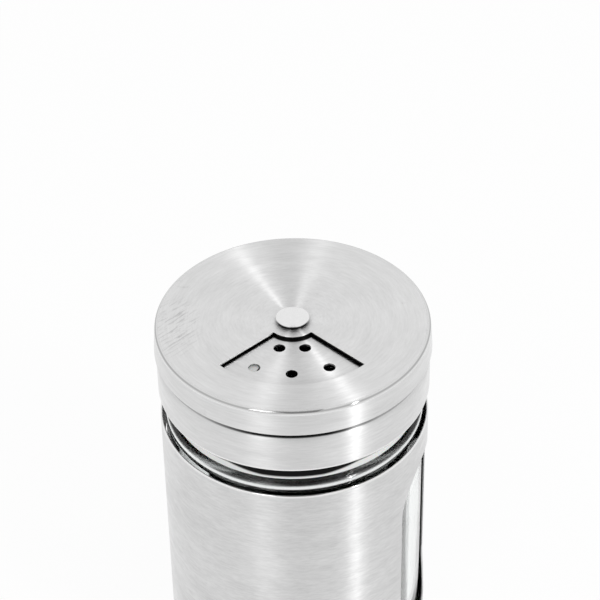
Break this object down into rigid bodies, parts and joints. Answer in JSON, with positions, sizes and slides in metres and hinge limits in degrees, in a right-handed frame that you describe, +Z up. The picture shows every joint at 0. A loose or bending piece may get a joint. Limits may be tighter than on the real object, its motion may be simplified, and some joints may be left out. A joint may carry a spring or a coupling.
{
  "type": "spice shaker",
  "caption": "Cylindrical spice shaker: glass jar in a windowed steel sleeve, with a screw cap whose turning cover bares shaker holes, a pouring gap or a blank.",
  "frame": {"origin": "middle of the foot, on the surface that the shaker stands on", "axes": "+Z up the jar's axis; -Y is the side that the cover's window faces at rest; +X is to its right"},
  "size_m": [0.059, 0.059, 0.0908],
  "materials": {
    "sleeve_steel": "brushed round the body",
    "pad_foam": "matt foam",
    "jar_glass": "clear",
    "seal_rubber": "matt",
    "rivet_steel": "polished dome",
    "washer_steel": "plain",
    "cap_steel": "brushed round the cap",
    "insert_plastic": "natural white, glossy",
    "spacer_plastic": "matt",
    "cover_steel": "turned, with fine rings round the rivet"
  },
  "bodies": {
    "sleeve": {"sleeve": "sleeve_steel", "base_pad": "pad_foam"},
    "jar": {"glass_jar": "jar_glass"},
    "seal": {"seal_ring": "seal_rubber"},
    "pivot": {"rivet": "rivet_steel", "spring_washer": "washer_steel", "backing_washer": "washer_steel"},
    "cap": {"cap_shell": "cap_steel", "thread_insert": "insert_plastic", "spacer_washer": "spacer_plastic"},
    "cover": {"cover": "cover_steel"}
  },
  "joints": [
    {"name": "jar_lift", "type": "slide", "parent": "sleeve", "child": "jar", "axis": [0, 0, 1], "range_m": [0, 0.075]},
    {"name": "cap_lift", "type": "slide", "parent": "jar", "child": "seal", "axis": [0, 0, 1], "range_m": [0, 0.06]},
    {"name": "cap_rise", "type": "slide", "parent": "seal", "child": "pivot", "axis": [0, 0, 1], "range_m": [0, 0.005]},
    {"name": "cap_turn", "type": "hinge", "parent": "pivot", "child": "cap", "pos_m": [0, 0, 0.084], "axis": [0, 0, 1], "range_deg": [0, 450]},
    {"name": "cover_turn", "type": "hinge", "parent": "cap", "child": "cover", "pos_m": [0, 0, 0.0887], "axis": [0, 0, 1], "continuous": true}
  ],
  "couplings": [
    {"joint": "cap_rise", "follows": "cap_turn", "m_per_rad": 0.000636}
  ]
}
